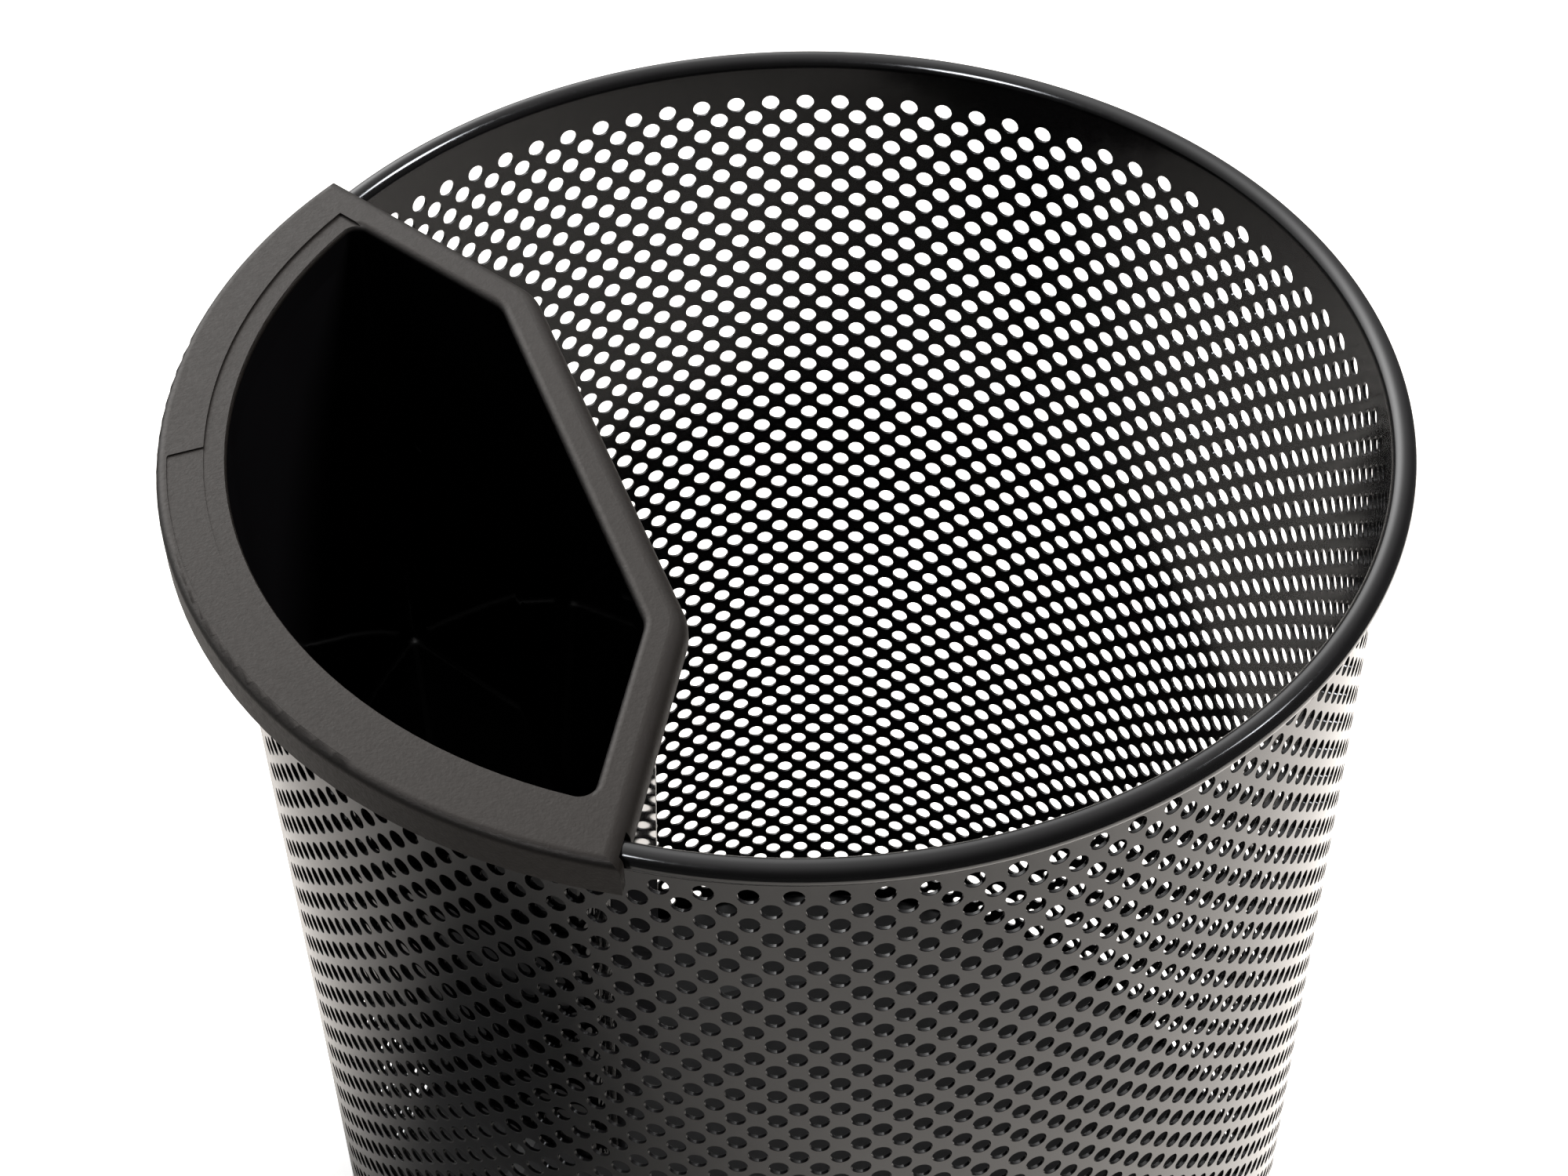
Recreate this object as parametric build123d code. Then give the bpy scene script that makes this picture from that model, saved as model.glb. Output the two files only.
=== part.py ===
from build123d import *
import os
from math import atan2, cos, radians, sin, sqrt, tan

# A round perforated-steel wastebasket with a moulded plastic caddy hung over its rim.
# Millimetres. Origin: the basket's axis where it meets the floor. +Z is up.
# The caddy hangs on the -X side of the rim and lifts off along +Z.

# ---- driving dimensions: the basket ----
RIM_DIAMETER = 260.0  # over the rolled edge
BASKET_HEIGHT = 330.0  # floor to the top of the rolled edge
SHEET = 0.8  # sheet steel, wall and floor pan
BEAD_RADIUS = 2.65  # outside of the rolled edge, in section
BEAD_END_ANGLE = 235.0  # where the curl stops, counted from the wall's side over the top
WIRE_CLEARANCE = 0.05

# ---- driving dimensions: the floor pan and the protecting ring ----
FLOOR_HEIGHT = 10.4  # top of the pan above the table
PAN_CORNER = 3.0  # outside radius between the pan's floor and its flange
PAN_STEP_RADIUS = 92.0  # edge of the raised centre
PAN_STEP_RUN = 5.0
PAN_STEP_RISE = 2.0
PAN_CLEARANCE = 0.1
SHEET_BOTTOM = 2.4  # lower edges of the wall and of the pan's flange
RING_LEG = 1.8
RING_HEIGHT = 7.5
RING_GROOVE_SLACK = 0.1
RING_EDGE_RADIUS = 0.7

# ---- driving dimensions: the caddy ----
CADDY_ARC_CENTRE = 8.4  # centre of the curved side, from the basket's axis
CADDY_ARC_RADIUS = 128.6
CADDY_CHORD = 43.2  # distance of the straight middle side from the basket's axis
CADDY_CHORD_HALF = 54.3  # half the middle side's length, corner to corner
CADDY_SIDE_ANGLE = 30.0  # how far the two end sides turn from the middle side
CADDY_TOP = 331.6
PLATE = 2.0
CADDY_WALL = 1.8
SIDE_ROUND = 3.6  # rolled-over outer edge of the straight sides
SIDE_CORNER = 14.0
ARC_ROUND = 2.0
SIDE_SKIRT = 5.6
ARC_SKIRT = 8.8
SIDE_FLANGE = 6.9  # flange width on the straight sides
ARC_FLANGE = 12.9  # flange width on the curved side
BUCKET_DEPTH = 131.3  # flange top to the underside of the bucket
BUCKET_FLOOR = 2.0
BUCKET_DRAFT = 2.0  # degrees
BUCKET_COLLAR = 9.0  # upright stretch at the mouth, above the draft
BUCKET_SIDE_CORNER = 9.0
BUCKET_TIP_CORNER = 5.0
BUCKET_BOTTOM_ROUND = 4.4
LIP_ROUND = 1.7
LEDGE_DROP = 0.6
LEDGE_INSET = 10.0  # from the curved side's outer edge
LABEL_INSET = 2.4
LABEL_LENGTH = 58.0
LABEL_DEPTH = 0.35
LABEL_CORNER = 0.8
PAD_RADIUS = 4.2  # ejector mark inside the bucket
PAD_DEPTH = 0.2
PAD_BELOW_TOP = 58.0
PAD_ALONG = 78.0  # along the caddy, from its middle
RIM_GAP = 0.3  # clearance between the caddy and the rolled edge
WALL_GAP = 0.4

# ---- worked-out dimensions ----
RIM_RADIUS = RIM_DIAMETER / 2
WALL_INNER = RIM_RADIUS - 2 * BEAD_RADIUS
WALL_OUTER = WALL_INNER + SHEET
BEAD_CENTRE = RIM_RADIUS - BEAD_RADIUS
BEAD_HEIGHT = BASKET_HEIGHT - BEAD_RADIUS
WIRE_RADIUS = BEAD_RADIUS - SHEET - WIRE_CLEARANCE
PAN_OUTER = WALL_INNER - PAN_CLEARANCE
BUCKET_BOTTOM = CADDY_TOP - BUCKET_DEPTH


def ring(profile):
    """Turn a section drawn in the XZ plane into a ring about the basket's axis."""
    return revolve(Plane.XZ * profile, axis=Axis.Z)


def bead_section():
    """Section of the rolled edge: an open curl that starts in line with the wall."""
    disc = Circle(BEAD_RADIUS) - Circle(BEAD_RADIUS - SHEET)
    start, end = radians(180), radians(BEAD_END_ANGLE)
    reach = 2 * BEAD_RADIUS
    middle = (start + end) / 2
    mouth = make_face(
        Polyline(
            (0, 0),
            (reach * cos(start), reach * sin(start)),
            (reach * cos(middle), reach * sin(middle)),
            (reach * cos(end), reach * sin(end)),
            close=True,
        )
    )
    return Pos(BEAD_CENTRE, BEAD_HEIGHT) * (disc - mouth)


def basket_wall():
    """Rolled sheet cylinder with its top edge curled outwards over the rim wire."""
    height = BEAD_HEIGHT - SHEET_BOTTOM
    sheet = Pos(WALL_INNER, SHEET_BOTTOM) * Rectangle(SHEET, height, align=(Align.MIN, Align.MIN))
    return ring(sheet + bead_section())


def rim_wire():
    """Steel wire that the rolled edge is closed round."""
    return ring(Pos(BEAD_CENTRE, BEAD_HEIGHT) * Circle(WIRE_RADIUS))


def base_pan():
    """Pressed floor: a raised centre, a flat margin and a flange turned down inside the wall."""
    top = FLOOR_HEIGHT
    centre_top = top + PAN_STEP_RISE
    foot = PAN_STEP_RADIUS
    brow = PAN_STEP_RADIUS - PAN_STEP_RUN
    mitre = SHEET * tan(atan2(PAN_STEP_RISE, PAN_STEP_RUN) / 2)  # keeps the sheet's thickness in the bends
    profile = Polyline(
        (0, centre_top),
        (brow, centre_top),
        (foot, top),
        (PAN_OUTER, top),
        (PAN_OUTER, SHEET_BOTTOM),
        (PAN_OUTER - SHEET, SHEET_BOTTOM),
        (PAN_OUTER - SHEET, top - SHEET),
        (foot - mitre, top - SHEET),
        (brow - mitre, centre_top - SHEET),
        (0, centre_top - SHEET),
        close=True,
    )
    section = make_face(profile)
    outside = section.vertices().sort_by_distance((PAN_OUTER, top))[0]
    section = fillet(outside, PAN_CORNER)
    inside = section.vertices().sort_by_distance((PAN_OUTER - SHEET, top - SHEET))[0]
    section = fillet(inside, PAN_CORNER - SHEET)
    return ring(section)


def base_ring():
    """Plastic channel clipped over the lower edges of the wall and the pan's flange."""
    groove_inner = PAN_OUTER - SHEET - RING_GROOVE_SLACK
    groove_outer = WALL_OUTER + RING_GROOVE_SLACK
    width = groove_outer - groove_inner + 2 * RING_LEG
    channel = Pos(groove_inner - RING_LEG, 0) * Rectangle(width, RING_HEIGHT, align=(Align.MIN, Align.MIN))
    channel = fillet(channel.vertices(), RING_EDGE_RADIUS)
    groove = Pos(groove_inner, SHEET_BOTTOM) * Rectangle(
        groove_outer - groove_inner, RING_HEIGHT, align=(Align.MIN, Align.MIN)
    )
    return ring(channel - groove)


def side_line(inset):
    """The straight sides' inner corner and the end sides' direction, moved in by an inset."""
    tilt = radians(CADDY_SIDE_ANGLE)
    chord = CADDY_CHORD + inset
    half = CADDY_CHORD_HALF - inset * (1 / cos(tilt) - 1) / (sin(tilt) / cos(tilt))
    return chord, half, (sin(tilt), cos(tilt))


def tip(inset_sides, inset_arc):
    """Where an end side meets the curved side."""
    chord, half, (out, along) = side_line(inset_sides)
    radius = CADDY_ARC_RADIUS - inset_arc
    lead = chord - CADDY_ARC_CENTRE
    b = lead * out + half * along
    reach = -b + sqrt(b * b - (lead * lead + half * half - radius * radius))
    return chord + reach * out, half + reach * along


def caddy_outline(inset_sides, inset_arc, side_corner=0.0, tip_corner=0.0):
    """Plan of the caddy, moved in from its outer edge: three straight sides and one curved side."""
    chord, half, _ = side_line(inset_sides)
    far, wide = tip(inset_sides, inset_arc)
    crown = CADDY_ARC_CENTRE + CADDY_ARC_RADIUS - inset_arc
    plan = make_face(
        [
            Line((-chord, -half), (-chord, half)),
            Line((-chord, half), (-far, wide)),
            ThreePointArc((-far, wide), (-crown, 0), (-far, -wide)),
            Line((-far, -wide), (-chord, -half)),
        ]
    )
    if side_corner:
        plan = fillet(plan.vertices().sort_by(Axis.X)[-2:], side_corner)
    if tip_corner:
        plan = fillet(plan.vertices().sort_by(lambda v: abs(v.Y))[-2:], tip_corner)
    return plan


def flange_block():
    """Outside of the hanging flange: a wedge with rolled-over sides, cut by the curved side."""
    height = ARC_SKIRT
    base = CADDY_TOP - height
    chord, half, (out, along) = side_line(0)
    reach = 2 * CADDY_ARC_RADIUS
    far, wide = chord + reach * out, half + reach * along
    wedge_plan = make_face(
        Polyline((-chord, -half), (-chord, half), (-far, wide), (-far, -wide), close=True)
    )
    wedge_plan = fillet(wedge_plan.vertices().sort_by(Axis.X)[-2:], SIDE_CORNER)
    wedge = Pos(0, 0, base) * extrude(wedge_plan, height)
    rolled = wedge.edges().group_by(Axis.Z)[-1].sort_by(Axis.X)[1:]
    wedge = fillet(rolled, SIDE_ROUND)
    drum = Pos(-CADDY_ARC_CENTRE, 0, base) * extrude(Circle(CADDY_ARC_RADIUS), height)
    drum = fillet(drum.edges().group_by(Axis.Z)[-1], ARC_ROUND)
    return wedge & drum


def bucket_body(inset, depth):
    """Body of the bucket, its outside or its cavity: an upright collar and a drafted part below."""
    drawn_in = (depth - BUCKET_COLLAR) * tan(radians(BUCKET_DRAFT))
    corners = (BUCKET_SIDE_CORNER - inset, BUCKET_TIP_CORNER - inset)
    mouth = caddy_outline(SIDE_FLANGE + inset, ARC_FLANGE + inset, *corners)
    foot = caddy_outline(SIDE_FLANGE + inset + drawn_in, ARC_FLANGE + inset + drawn_in, *corners)
    collar_base = CADDY_TOP - BUCKET_COLLAR
    collar = Pos(0, 0, collar_base) * extrude(mouth, BUCKET_COLLAR)
    drafted = loft([Pos(0, 0, collar_base) * mouth, Pos(0, 0, CADDY_TOP - depth) * foot], ruled=True)
    drafted = fillet(drafted.edges().group_by(Axis.Z)[0], BUCKET_BOTTOM_ROUND - inset)
    return collar + drafted


def rim_slot():
    """Room under the flange for the basket's wall and rolled edge."""
    inner, outer = WALL_INNER - WALL_GAP, RIM_RADIUS + WALL_GAP
    height = BASKET_HEIGHT + RIM_GAP - BUCKET_BOTTOM
    section = Pos(inner, BUCKET_BOTTOM) * Rectangle(outer - inner, height, align=(Align.MIN, Align.MIN))
    return ring(section)


def label_recess():
    """Shallow label field in the curved flange, open towards the mouth."""
    outer = CADDY_ARC_RADIUS - LABEL_INSET
    inner = CADDY_ARC_RADIUS - ARC_FLANGE
    band = Circle(outer) - Circle(inner)
    across = 2 * (outer - inner)  # enough to pass both edges of the band
    field = band & (Pos(-outer, 0) * Rectangle(2 * across, LABEL_LENGTH))
    corners = field.vertices().sort_by(lambda v: v.X**2 + v.Y**2)[-2:]
    field = fillet(corners, LABEL_CORNER)
    return Pos(-CADDY_ARC_CENTRE, 0, CADDY_TOP - LABEL_DEPTH) * extrude(field, LABEL_DEPTH)


def ledge():
    """Step that runs along the curved side just inside the flange."""
    plan = caddy_outline(SIDE_FLANGE + CADDY_WALL, LEDGE_INSET)
    return Pos(0, 0, CADDY_TOP - LEDGE_DROP) * extrude(plan, LEDGE_DROP)


def ejector_mark(end):
    """Shallow round mark on the inside of one end wall; end is 1 for +Y and -1 for -Y."""
    tilt = radians(CADDY_SIDE_ANGLE)
    lean = radians(BUCKET_DRAFT)
    drawn_in = (PAD_BELOW_TOP - BUCKET_COLLAR) * tan(lean)
    chord, half, (out, along) = side_line(SIDE_FLANGE + CADDY_WALL + drawn_in)
    reach = (PAD_ALONG - half) / along
    centre = Vector(-chord - reach * out, end * PAD_ALONG, CADDY_TOP - PAD_BELOW_TOP)
    # from the cavity into the wall, square to the drafted face
    normal = Vector(cos(tilt) * cos(lean), end * sin(tilt) * cos(lean), -sin(lean))
    start = Plane(origin=centre - normal * CADDY_WALL, z_dir=normal)
    return start * extrude(Circle(PAD_RADIUS), CADDY_WALL + PAD_DEPTH)


def caddy():
    """One moulding: flange, skirt and bucket."""
    inside = caddy_outline(CADDY_WALL, CADDY_WALL, SIDE_CORNER - CADDY_WALL)
    hollow = Pos(0, 0, CADDY_TOP - ARC_SKIRT) * extrude(inside, ARC_SKIRT - PLATE)
    short_skirt = Pos(0, 0, CADDY_TOP - ARC_SKIRT) * extrude(
        Circle(RIM_RADIUS + WALL_GAP), ARC_SKIRT - SIDE_SKIRT
    )
    flange = flange_block() - hollow - short_skirt
    body = flange + bucket_body(0, BUCKET_DEPTH) - bucket_body(CADDY_WALL, BUCKET_DEPTH - BUCKET_FLOOR)
    top = body.faces().filter_by(Plane.XY).sort_by(Axis.Z)[-1]
    mouth = top.inner_wires()[0].edges()
    body = fillet(mouth, LIP_ROUND)
    body = body - ledge() - label_recess() - rim_slot()
    for end in (1, -1):
        body = body - ejector_mark(end)
    return body


PARTS = {
    "basket_wall": basket_wall,
    "rim_wire": rim_wire,
    "base_pan": base_pan,
    "base_ring": base_ring,
    "caddy": caddy,
}

os.makedirs("parts", exist_ok=True)
for name, make in PARTS.items():
    solid = make()
    export_step(solid, f"parts/{name}.step")
    print(name, round(solid.volume), solid.bounding_box())
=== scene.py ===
from math import cos, pi, radians, sin, tau

import bpy
import numpy as np
from mathutils import Matrix, Vector


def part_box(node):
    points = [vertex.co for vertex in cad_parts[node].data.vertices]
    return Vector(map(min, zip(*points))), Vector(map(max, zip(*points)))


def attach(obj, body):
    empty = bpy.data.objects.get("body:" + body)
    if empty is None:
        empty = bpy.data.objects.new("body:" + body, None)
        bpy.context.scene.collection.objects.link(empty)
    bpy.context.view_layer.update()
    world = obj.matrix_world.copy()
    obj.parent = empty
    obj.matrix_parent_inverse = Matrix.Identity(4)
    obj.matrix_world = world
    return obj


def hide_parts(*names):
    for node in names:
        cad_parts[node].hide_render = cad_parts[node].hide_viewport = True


# A round perforated-steel wastebasket with a plastic caddy hung over its rim.
# Metres, in the CAD model's frame. Angles are in degrees round the basket's axis, from +X towards +Y.

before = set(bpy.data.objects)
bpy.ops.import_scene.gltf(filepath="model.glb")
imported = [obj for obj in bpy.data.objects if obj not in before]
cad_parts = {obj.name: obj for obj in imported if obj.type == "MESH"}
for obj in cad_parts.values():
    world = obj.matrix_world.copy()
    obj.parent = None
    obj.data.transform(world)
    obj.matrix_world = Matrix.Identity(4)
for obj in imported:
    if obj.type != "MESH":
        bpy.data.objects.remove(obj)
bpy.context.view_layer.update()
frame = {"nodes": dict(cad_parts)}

# ---- the basket's wall ----
SHEET = 0.0008
BEAD_RADIUS = 0.00265  # outside of the rolled edge, in section
BEAD_SWEEP = 235  # how far the edge is curled, from the wall's side over the top
INNER_STEPS = 20  # along the curl's inside and outside
OUTER_STEPS = 32
WALL_BOTTOM = 0.0024
SMOOTH_BELOW = 30  # edges that turn more than this are sharp

# ---- the perforation ----
# The holes stand in staggered rows. Their places are counted on a lattice: u counts half pitches
# round the wall from the first column, and v counts rows up from the top row.
HOLE_RADIUS = 0.00213
HOLE_BEVEL = 0.0001
HOLE_SIDES = 16
ROWS = 72
TOP_ROW = 0.31732
ROW_STEP = 0.0042565
COLUMNS = 91  # in the even rows; the odd rows have one fewer
FIRST_COLUMN = 175.6606
COLUMN_STEP = 1.9611  # half the pitch of a row
ROWS_IN_PIECE = 12

# ---- the wall's seam, a flat weld in the plain strip behind the caddy ----
SEAM_OFFSETS = (-0.46, -0.23, 0, 0.23, 0.46)  # in half pitches, from the seam's middle
SEAM_HEIGHT = 0.00012

# ---- the caddy's finishes ----
SKIRT = 0.0088  # from the flange's top down to the skirt's lower edge
SKIRT_FADE = 0.0004
LIP = 0.0012  # how far the matt grain runs down into the bucket
LIP_FADE = 0.0012
BUCKET_MIDDLE = (-0.082, 0, 0.27)
FLANGE_DARK = (0.0048, 0.0042, 0.0038)
FLANGE_LIGHT = (0.0074, 0.0065, 0.0060)
BUCKET_BLACK = (0.003, 0.003, 0.0036)
MATT_SHEEN = (1.0, 0.93, 0.88)
WHITE = (1.0, 1.0, 1.0)
BLACK = (0.0, 0.0, 0.0)

# ---- the table ----
FLOOR_SIZE = 4.0
FLOOR_DARK = (0.9, 0.9, 0.9)
FLOOR_LIGHT = (0.93, 0.93, 0.93)
# past these lines the table is painted black with a faint room glow for glossy rays, a painted
# reflection
REFLECTED_RIGHT = 0.62  # where reflections see the table end
REFLECTED_FRONT = -0.45
CAMERA_LIFT = 0.8  # light that the table adds for the camera only

# ---- light ----
WARM_WHITE = (1.0, 0.94, 0.88)
COOL_WHITE = (0.92, 0.95, 1.0)
LAMP_DISTANCE = 1.15  # from the middle of the basket's mouth
KEY_BEARING, KEY_HEIGHT = 20, 54
KEY_AIM = (0.32, -0.16, 0)
KEY_SIZE, KEY_POWER, KEY_SPREAD = 0.45, 17, 110
BOX_HEIGHT = 51
BOX_SIZE, BOX_SPREAD = 0.4, 22
BOXES = {  # bearing of the lamp, bearing of the stretch of rim that it lights, power
    "right_softbox": (-6, 120, 0.48),
    "left_softbox": (-154, 50, 0.54),
}
BOX_REACH = 0.25  # how far past the axis the softboxes are aimed
ROOM_LIGHT = 0.1
BACKDROP_CORE = 4.5
BACKDROP_WASH = 1.2
BACKDROP_FOCUS = 12
BACKDROP_BEARING = 105
BACKDROP_HEIGHT = 30
CEILING = 0.5
CEILING_FOCUS = 4

# ---- the camera ----
LENS, SENSOR = 68.166, 36  # millimetres
CAMERA_DISTANCE, CAMERA_BEARING, CAMERA_HEIGHT = 0.47501, -109.4, 0.75201
CAMERA_HEADING, CAMERA_PITCH, CAMERA_ROLL = -18.836, 90 - 45.22, -1.183

# ---- worked-out sizes ----
RIM_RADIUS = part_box("basket_wall")[1].x
WALL_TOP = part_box("basket_wall")[1].z
WALL_INNER = RIM_RADIUS - 2 * BEAD_RADIUS
WALL_OUTER = WALL_INNER + SHEET
BEAD_CENTRE = RIM_RADIUS - BEAD_RADIUS
BEAD_HEIGHT = WALL_TOP - BEAD_RADIUS
LAST_COLUMN = -2 * (COLUMNS - 1)
ROUND = 360 / COLUMN_STEP
SEAM_MIDDLE = (LAST_COLUMN + ROUND) / 2
HALF_PITCH = radians(COLUMN_STEP) * (WALL_INNER + WALL_OUTER) / 2
TURNS = np.arange(HOLE_SIDES) * tau / HOLE_SIDES
CIRCLE = np.column_stack([np.cos(TURNS), np.sin(TURNS)])
CELL = CIRCLE / np.abs(CIRCLE).sum(axis=1, keepdims=True)
LATTICE = np.array([HALF_PITCH, ROW_STEP])


def seam_lift(u):
    """How far the weld stands out from the wall, and its slope, at places round the wall."""
    width = 2 * SEAM_OFFSETS[-1] - SEAM_OFFSETS[-2]
    across = (u - SEAM_MIDDLE) / width
    inside = np.abs(across) < 1
    lift = np.where(inside, SEAM_HEIGHT * np.cos(across * pi / 2) ** 2, 0)
    slope = np.where(inside, -SEAM_HEIGHT * pi / 2 * np.sin(across * pi) / (width * HALF_PITCH), 0)
    return lift, slope


def directions(u):
    """The outward and the sideways direction at places round the wall."""
    angle = np.radians(FIRST_COLUMN + u * COLUMN_STEP)
    flat = np.zeros_like(angle)
    outward = np.column_stack([np.cos(angle), np.sin(angle), flat])
    sideways = np.column_stack([-np.sin(angle), np.cos(angle), flat])
    return outward, sideways


def wall_points(places, radius):
    """Lattice places on a cylinder of that radius, or of one radius for each place."""
    outward, _ = directions(places[:, 0])
    points = outward * np.reshape(radius, (-1, 1))
    points[:, 2] = TOP_ROW + places[:, 1] * ROW_STEP
    return points


def new_piece(name, points, faces, body, replaces):
    """A mesh piece that rides on a body and stands for a CAD node."""
    mesh = bpy.data.meshes.new(name)
    mesh.from_pydata(points.tolist(), [], faces.tolist())
    mesh.shade_smooth()
    piece = bpy.data.objects.new(name, mesh)
    bpy.context.scene.collection.objects.link(piece)
    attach(piece, body)
    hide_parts(replaces)
    return piece


def strip(columns, first, second):
    """Quads between two rings of points, one quad for each of the ring's steps."""
    after = np.roll(columns, -1, axis=-1)
    quads = np.stack([first + columns, first + after, second + after, second + columns], axis=-1)
    return quads.reshape(-1, 4)


def hole_places(rows):
    """Middles of the holes in these rows, on the lattice."""
    places = [
        (-2 * column - row % 2, -row) for row in rows for column in range(COLUMNS - row % 2)
    ]
    return np.array(places, float)


def seam_grid(first, last):
    """Places on the plain strip at the seam, from one row down to another, and its quads."""
    steps = np.unique(np.round(np.abs(CELL[:, 1]), 6))[:-1]
    levels = [row + step for row in range(first, last) for step in steps] + [last]
    grid = []
    for level in levels:
        side = abs(level % 2 - 1)
        across = [side] + [SEAM_MIDDLE + offset for offset in SEAM_OFFSETS] + [LAST_COLUMN - side]
        grid.append([(u, -level) for u in across])
    wide = len(SEAM_OFFSETS) + 2
    index = np.arange(len(levels) * wide).reshape(len(levels), wide)
    quads = np.stack([index[1:, :-1], index[1:, 1:], index[:-1, 1:], index[:-1, :-1]], axis=-1)
    return np.array(grid).reshape(-1, 2), quads.reshape(-1, 4)


def open_edges(faces, count):
    """Directed edges that only one face has."""
    starts = faces.reshape(-1)
    ends = np.roll(faces, -1, axis=1).reshape(-1)
    lone = ~np.isin(starts * count + ends, ends * count + starts)
    return starts[lone], ends[lone]


def perforated_piece(number, first, last):
    """Some rows of the perforated sheet as one closed solid, with every hole cut and bevelled."""
    middles = hole_places(range(first, last + 1))
    holes = len(middles)
    seam, seam_quads = seam_grid(first, min(last + 1, ROWS - 1))
    corners = np.vstack([(middles[:, None] + CELL).reshape(-1, 2), seam])
    _, kept, index = np.unique(
        np.round(corners * 1000).astype(int), axis=0, return_index=True, return_inverse=True
    )
    corners, index = corners[kept], index.reshape(-1)
    bevel_edge = (middles[:, None] + CIRCLE * (HOLE_RADIUS + HOLE_BEVEL) / LATTICE).reshape(-1, 2)
    bore_edge = (middles[:, None] + CIRCLE * HOLE_RADIUS / LATTICE).reshape(-1, 2)
    sheet = np.vstack([corners, bevel_edge])
    plain, side = len(corners), len(sheet)

    rims = np.arange(holes * HOLE_SIDES).reshape(holes, HOLE_SIDES)
    cells = index[: holes * HOLE_SIDES].reshape(holes, HOLE_SIDES)
    next_rims, next_cells = np.roll(rims, -1, axis=1), np.roll(cells, -1, axis=1)
    collars = np.stack([plain + rims, cells, next_cells, plain + next_rims], axis=-1)
    faces = np.vstack([collars.reshape(-1, 4), index[holes * HOLE_SIDES:][seam_quads]])
    starts, ends = open_edges(faces, side)
    border = (starts < plain) | (ends < plain)
    starts, ends = starts[border], ends[border]
    bore_top, bore_bottom = 2 * side, 2 * side + len(bore_edge)
    quads = np.vstack([
        faces,
        faces[:, ::-1] + side,
        strip(rims, plain, bore_top),
        strip(rims, bore_top, bore_bottom),
        strip(rims, bore_bottom, side + plain),
        np.column_stack([ends, starts, starts + side, ends + side]),
    ])

    lift, slope = seam_lift(sheet[:, 0])
    points = np.vstack([
        wall_points(sheet, WALL_OUTER + lift),
        wall_points(sheet, WALL_INNER),
        wall_points(bore_edge, WALL_OUTER - HOLE_BEVEL),
        wall_points(bore_edge, WALL_INNER + HOLE_BEVEL),
    ])
    outward, sideways = directions(sheet[:, 0])
    outside = outward - sideways * slope[:, None]
    _, bore_sideways = directions(bore_edge[:, 0])
    inward = -bore_sideways * np.tile(CIRCLE[:, :1], (holes, 1))
    inward[:, 2] = -np.tile(CIRCLE[:, 1], holes)
    piece = new_piece(
        f"perforated_wall_{number}", points, quads, "basket", "basket_wall"
    )
    piece.data.normals_split_custom_set_from_vertices(
        np.vstack([outside, -outward, inward, inward]).tolist()
    )
    return piece


def row_border(row, side):
    """The zigzag along a row's cells, once round the wall; side is 1 above the row and -1 below it."""
    edge = hole_places([row])[:, None] + CELL[: HOLE_SIDES // 2 + 1] * (1, side)
    edge = edge.reshape(-1, 2)
    _, kept = np.unique(np.round(edge[:, 0] * 1000).astype(int), return_index=True)
    seam = [(SEAM_MIDDLE + offset, -row) for offset in SEAM_OFFSETS]
    return np.vstack([edge[kept], seam])


def turned_piece(name, border, section):
    """A ring round the basket's axis, turned from a closed section of (radius, height) points.
    A height of None stands for the zigzag border."""
    lift, _ = seam_lift(border[:, 0])
    rings = []
    for radius, height in section:
        if height is None:
            on_outside = radius > WALL_INNER
            rings.append(wall_points(border, radius + lift * on_outside))
        else:
            level = np.full(len(border), (height - TOP_ROW) / ROW_STEP)
            rings.append(wall_points(np.column_stack([border[:, 0], level]), radius))
    columns = np.arange(len(border))
    quads = []
    for ring in range(len(section)):
        following = (ring + 1) % len(section)
        quads.append(strip(columns, ring * len(border), following * len(border)))
    piece = new_piece(name, np.vstack(rings), np.vstack(quads), "basket", "basket_wall")
    piece.data.set_sharp_from_angle(angle=radians(SMOOTH_BELOW))
    return piece


def bead_arc(radius, start, end, steps):
    """Points along the rolled edge's section; angles are counted from outwards, upwards."""
    angles = [radians(start + (end - start) * step / steps) for step in range(steps + 1)]
    return [(BEAD_CENTRE + radius * cos(a), BEAD_HEIGHT + radius * sin(a)) for a in angles]


def top_band():
    """Plain band above the holes, with its edge curled outwards over the wire."""
    end = 180 - BEAD_SWEEP
    section = [(WALL_OUTER, None)]
    section += bead_arc(BEAD_RADIUS - SHEET, 180, end, INNER_STEPS)
    section += bead_arc(BEAD_RADIUS, end, 180, OUTER_STEPS)
    section += [(WALL_INNER, None)]
    return turned_piece("rolled_rim_band", row_border(0, 1), section)


def bottom_band():
    """Plain band below the holes, down into the base ring."""
    section = [
        (WALL_OUTER, WALL_BOTTOM),
        (WALL_OUTER, None),
        (WALL_INNER, None),
        (WALL_INNER, WALL_BOTTOM),
    ]
    return turned_piece("lower_plain_band", row_border(ROWS - 1, -1), section)


# ---- materials ----
def material(name, base, roughness, specular=0.5):
    """A new node material, a function that adds and links nodes, and one that feeds the shader."""
    made = bpy.data.materials.new(name)
    made.use_nodes = True
    nodes, links = made.node_tree.nodes, made.node_tree.links
    shader = nodes["Principled BSDF"]
    shader.inputs["Base Color"].default_value = (*base, 1)
    shader.inputs["Roughness"].default_value = roughness
    shader.inputs["Specular IOR Level"].default_value = specular

    def add(kind, inputs=(), **settings):
        node = nodes.new(kind)
        for key, value in settings.items():
            setattr(node, key, value)
        for socket, value in dict(inputs).items():
            if isinstance(value, bpy.types.NodeSocket):
                links.new(value, node.inputs[socket])
            else:
                node.inputs[socket].default_value = value
        return node

    def feed(value, socket):
        links.new(value, shader.inputs[socket])

    return made, add, feed


def maths(add, operation, first, second):
    """One arithmetic step on two values."""
    return add("ShaderNodeMath", {0: first, 1: second}, operation=operation).outputs["Value"]


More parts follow.
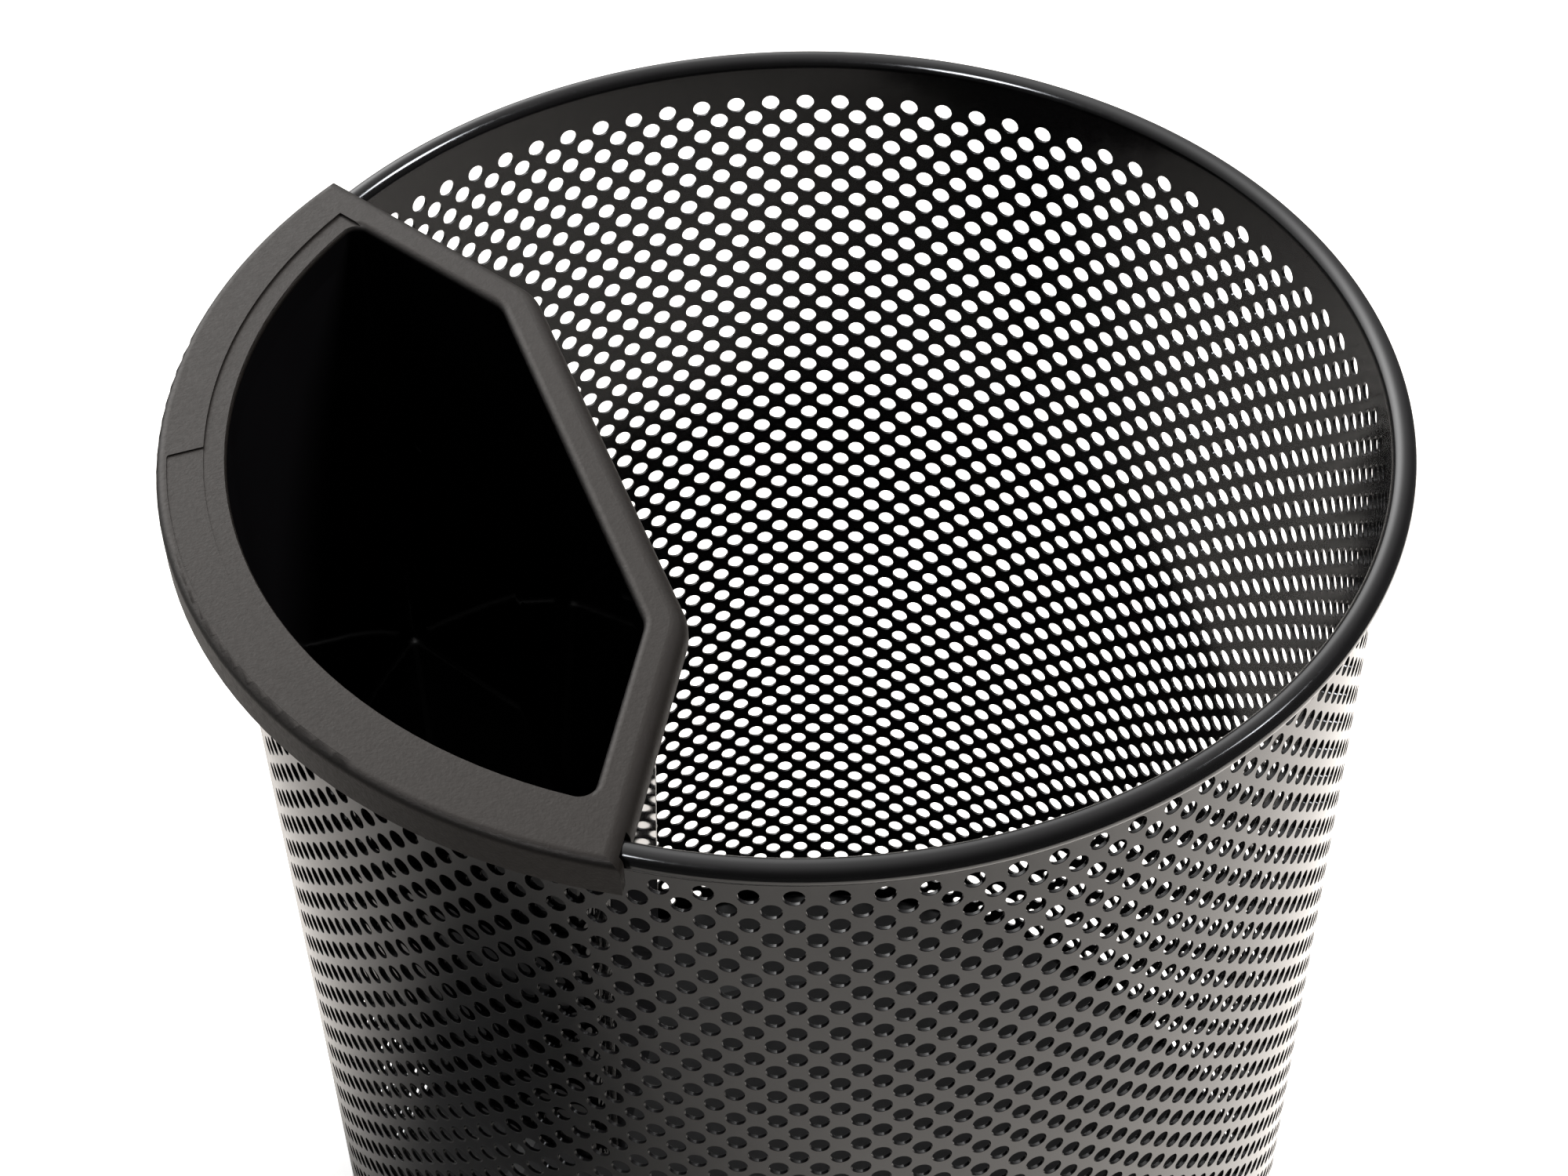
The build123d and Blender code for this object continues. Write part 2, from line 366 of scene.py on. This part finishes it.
def mottle(add, place, size, detail=2.0):
    """Smooth noise from 0 to 1 with features of about that size in metres."""
    noise = add("ShaderNodeTexNoise", {"Vector": place, "Scale": 1 / size, "Detail": detail})
    return noise.outputs["Fac"]


def spread(add, value, low, high):
    """The middle of a noise's range stretched between two numbers."""
    return add(
        "ShaderNodeMapRange",
        {"Value": value, "From Min": 0.3, "From Max": 0.7, "To Min": low, "To Max": high},
    ).outputs["Result"]


def blend(add, value, low, high):
    """A colour between two colours, each a constant or another node's."""
    ends = [c if isinstance(c, bpy.types.NodeSocket) else (*c, 1) for c in (low, high)]
    mix = add("ShaderNodeMix", {0: value, 6: ends[0], 7: ends[1]}, data_type="RGBA")
    return mix.outputs[2]


def ramp(add, value, one, zero):
    """1 below a level and 0 above another, smooth between them."""
    node = add(
        "ShaderNodeMapRange",
        {"Value": value, "From Min": one, "From Max": zero, "To Min": 1.0, "To Max": 0.0},
        interpolation_type="SMOOTHSTEP",
    )
    return node.outputs["Result"]


def grain(add, feed, height, strength, depth):
    """Surface grain: a height pattern of that depth in metres."""
    bump = add("ShaderNodeBump", {"Height": height, "Strength": strength, "Distance": depth})
    feed(bump.outputs["Normal"], "Normal")


def powder_coat(name, dark, light, roughness, specular=0.5):
    """Satin black powder coat: faint orange peel, and a slightly uneven gloss and colour."""
    made, add, feed = material(name, dark, roughness, specular)
    place = add("ShaderNodeTexCoord").outputs["Object"]
    feed(blend(add, mottle(add, place, 0.004), dark, light), "Base Color")
    feed(spread(add, mottle(add, place, 0.0015), roughness - 0.03, roughness + 0.03), "Roughness")
    grain(add, feed, mottle(add, place, 0.0007), 0.15, 0.00001)
    return made


def caddy_gloss(add, place):
    """1 on the caddy's glossy bucket and 0 on its matt flange and skirt."""
    height = add("ShaderNodeSeparateXYZ", {0: place}).outputs["Z"]
    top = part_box("caddy")[1].z
    below_skirt = ramp(add, height, top - SKIRT - SKIRT_FADE, top - SKIRT)
    below_lip = ramp(add, height, top - LIP - LIP_FADE, top - LIP)
    inwards = add("ShaderNodeVectorMath", {0: BUCKET_MIDDLE, 1: place}, operation="SUBTRACT")
    normal = add("ShaderNodeNewGeometry").outputs["True Normal"]
    facing = add(
        "ShaderNodeVectorMath", {0: inwards.outputs["Vector"], 1: normal}, operation="DOT_PRODUCT"
    )
    inner_side = maths(add, "GREATER_THAN", facing.outputs["Value"], 0)
    return maths(add, "MAXIMUM", maths(add, "MULTIPLY", below_lip, inner_side), below_skirt)


def caddy_plastic(name):
    """One black moulding: a fine matt grain on the flange and its skirt, and a gloss on the bucket."""
    made, add, feed = material(name, FLANGE_DARK, 0.5, 0.38)
    place = add("ShaderNodeTexCoord").outputs["Object"]
    gloss = caddy_gloss(add, place)
    matt = blend(add, mottle(add, place, 0.0008), FLANGE_DARK, FLANGE_LIGHT)
    feed(blend(add, gloss, matt, BUCKET_BLACK), "Base Color")
    feed(blend(add, gloss, MATT_SHEEN, WHITE), "Specular Tint")
    matt_roughness = spread(add, mottle(add, place, 0.0012), 0.46, 0.54)
    gloss_roughness = spread(add, mottle(add, place, 0.01), 0.02, 0.03)
    roughness = add("ShaderNodeMix", {0: gloss, 2: matt_roughness, 3: gloss_roughness})
    feed(roughness.outputs[0], "Roughness")
    matt_part = maths(add, "SUBTRACT", 1, gloss)
    grain(add, feed, maths(add, "MULTIPLY", mottle(add, place, 0.0006), matt_part), 0.6, 0.0001)
    return made


def wire_steel(name):
    """Drawn steel wire, dull, with a faint uneven tone and roughness."""
    made, add, feed = material(name, (0.2, 0.2, 0.2), 0.45)
    place = add("ShaderNodeTexCoord").outputs["Object"]
    feed(blend(add, mottle(add, place, 0.001), (0.16, 0.16, 0.165), (0.26, 0.26, 0.26)), "Base Color")
    feed(spread(add, mottle(add, place, 0.003), 0.35, 0.55), "Roughness")
    return made


def ring_plastic(name):
    """Soft black plastic of the base ring."""
    dark, light = (0.018, 0.018, 0.018), (0.026, 0.026, 0.025)
    made, add, feed = material(name, dark, 0.5)
    place = add("ShaderNodeTexCoord").outputs["Object"]
    feed(blend(add, mottle(add, place, 0.003), dark, light), "Base Color")
    grain(add, feed, mottle(add, place, 0.0005), 0.3, 0.00003)
    return made


def paint(piece, made):
    """Give a piece this material all over."""
    slots = piece.data.materials
    slots.clear()
    slots.append(made)


# ---- the studio ----
def towards(bearing, height):
    """Unit vector towards a bearing and a height above the horizon, both in degrees."""
    b, h = radians(bearing), radians(height)
    return Vector((cos(b) * cos(h), sin(b) * cos(h), sin(h)))


def white_table():
    """White table top, lifted towards pure white for the camera.
    Reflections see it end a little in front of the basket and at its right: past these lines it is
    painted black with a faint glow of room light, for glossy rays only, a painted reflection of the dim
    room."""
    made, add, feed = material("white_table", FLOOR_DARK, 0.7, 0.2)
    place = add("ShaderNodeTexCoord").outputs["Object"]
    white = blend(add, mottle(add, place, 0.3), FLOOR_DARK, FLOOR_LIGHT)
    across = add("ShaderNodeSeparateXYZ", {0: place})
    past_right = maths(add, "GREATER_THAN", across.outputs["X"], REFLECTED_RIGHT)
    past_front = maths(add, "LESS_THAN", across.outputs["Y"], REFLECTED_FRONT)
    path = add("ShaderNodeLightPath")
    past_end = maths(add, "MAXIMUM", past_right, past_front)
    # painted reflection: glossy rays see the table black past its ends, with a faint glow of room light
    reflection_dark = maths(add, "MULTIPLY", past_end, path.outputs["Is Glossy Ray"])
    feed(blend(add, reflection_dark, white, BLACK), "Base Color")
    lift = maths(add, "MULTIPLY", path.outputs["Is Camera Ray"], CAMERA_LIFT)
    room = maths(add, "MULTIPLY", reflection_dark, ROOM_LIGHT)
    feed(maths(add, "ADD", lift, room), "Emission Strength")
    return made


def studio_floor():
    """Table that runs out of every view."""
    sides = (-FLOOR_SIZE, FLOOR_SIZE)
    mesh = bpy.data.meshes.new("floor")
    mesh.from_pydata([(x, y, 0) for y in sides for x in sides], [], [(0, 1, 3, 2)])
    floor = bpy.data.objects.new("floor", mesh)
    bpy.context.scene.collection.objects.link(floor)
    paint(floor, white_table())


def soft_light(name, place, aim, size, power, colour, spread_angle):
    """Square softbox at a place, pointed at another; a grid narrows its spread, in degrees."""
    lamp = bpy.data.lights.new(name, "AREA")
    lamp.shape = "SQUARE"
    lamp.size = size
    lamp.energy = power
    lamp.color = colour
    lamp.spread = radians(spread_angle)
    light = bpy.data.objects.new(name, lamp)
    light.location = place
    light.rotation_euler = (Vector(aim) - Vector(place)).to_track_quat("-Z", "Y").to_euler()
    bpy.context.scene.collection.objects.link(light)
    return light


def studio_lights():
    """A warm key that lights the table and the coat, and two softboxes that show only as highlights."""
    mouth = Vector((0, 0, WALL_TOP))
    place = mouth + LAMP_DISTANCE * towards(KEY_BEARING, KEY_HEIGHT)
    key = soft_light("key_softbox", place, KEY_AIM, KEY_SIZE, KEY_POWER, WARM_WHITE, KEY_SPREAD)
    key.visible_glossy = False
    for name, (bearing, lit, power) in BOXES.items():
        place = mouth + LAMP_DISTANCE * towards(bearing, BOX_HEIGHT)
        aim = mouth + BOX_REACH * towards(lit, 0)
        box = soft_light(name, place, aim, BOX_SIZE, power, COOL_WHITE, BOX_SPREAD)
        box.visible_diffuse = False


def studio_world():
    """Dim room whose backdrop and ceiling glow only in reflections; the camera sees plain white."""
    world = bpy.data.worlds.new("studio")
    world.use_nodes = True
    nodes, links = world.node_tree.nodes, world.node_tree.links

    def step(operation, first, second):
        node = nodes.new("ShaderNodeMath")
        node.operation = operation
        for socket, value in zip(node.inputs, (first, second)):
            if isinstance(value, bpy.types.NodeSocket):
                links.new(value, socket)
            else:
                socket.default_value = value
        return node.outputs["Value"]

    direction = nodes.new("ShaderNodeTexCoord").outputs["Generated"]
    facing = nodes.new("ShaderNodeVectorMath")
    facing.operation = "DOT_PRODUCT"
    facing.inputs[1].default_value = towards(BACKDROP_BEARING, BACKDROP_HEIGHT)
    links.new(direction, facing.inputs[0])
    near = step("MAXIMUM", facing.outputs["Value"], 0.0)
    core = step("MULTIPLY", step("POWER", near, BACKDROP_FOCUS), BACKDROP_CORE)
    wash = step("MULTIPLY", step("POWER", near, 2.0), BACKDROP_WASH)
    height = nodes.new("ShaderNodeSeparateXYZ")
    links.new(direction, height.inputs[0])
    above = step("MAXIMUM", height.outputs["Z"], 0.0)
    ceiling = step("MULTIPLY", step("POWER", above, CEILING_FOCUS), CEILING)
    path = nodes.new("ShaderNodeLightPath")
    glow = step("ADD", step("ADD", core, wash), ceiling)
    light = step("ADD", step("MULTIPLY", glow, path.outputs["Is Glossy Ray"]), ROOM_LIGHT)
    seen = nodes.new("ShaderNodeMix")
    seen.inputs[3].default_value = 1.0
    links.new(path.outputs["Is Camera Ray"], seen.inputs[0])
    links.new(light, seen.inputs[2])
    links.new(seen.outputs[0], nodes["Background"].inputs["Strength"])
    nodes["Background"].inputs["Color"].default_value = (*WHITE, 1)
    bpy.context.scene.world = world


def photo_camera():
    """Camera above and in front of the basket, a little to its left."""
    lens = bpy.data.cameras.new("camera")
    lens.sensor_width = SENSOR
    lens.lens = LENS
    camera = bpy.data.objects.new("camera", lens)
    turn = Matrix.Rotation(radians(CAMERA_HEADING), 4, "Z")
    turn @= Matrix.Rotation(radians(CAMERA_PITCH), 4, "X")
    turn @= Matrix.Rotation(radians(CAMERA_ROLL), 4, "Z")
    place = CAMERA_DISTANCE * towards(CAMERA_BEARING, 0)
    place.z = CAMERA_HEIGHT
    camera.matrix_world = Matrix.Translation(place) @ turn
    bpy.context.scene.collection.objects.link(camera)
    bpy.context.scene.camera = camera


# ---- the part ----
def build_wall():
    """The basket's wall: six bands of perforated sheet between its two plain bands."""
    wall = []
    for number, first in enumerate(range(0, ROWS, ROWS_IN_PIECE), start=1):
        wall.append(perforated_piece(number, first, first + ROWS_IN_PIECE - 1))
    wall += [top_band(), bottom_band()]
    coat = powder_coat("powder_coat", (0.003, 0.003, 0.0034), (0.0045, 0.0045, 0.005), 0.14)
    for piece in wall:
        paint(piece, coat)


def paint_nodes(nodes):
    """Finishes of the CAD nodes that are carried over."""
    dark, light = (0.004, 0.004, 0.0045), (0.006, 0.006, 0.0065)
    paint(nodes["base_pan"], powder_coat("floor_coat", dark, light, 0.42, 0.25))
    paint(nodes["rim_wire"], wire_steel("rim_wire_steel"))
    paint(nodes["base_ring"], ring_plastic("base_ring_plastic"))
    paint(nodes["caddy"], caddy_plastic("caddy_plastic"))


build_wall()
paint_nodes(frame["nodes"])
studio_floor()
studio_lights()
studio_world()
photo_camera()
bpy.context.scene.view_settings.view_transform = "Standard"
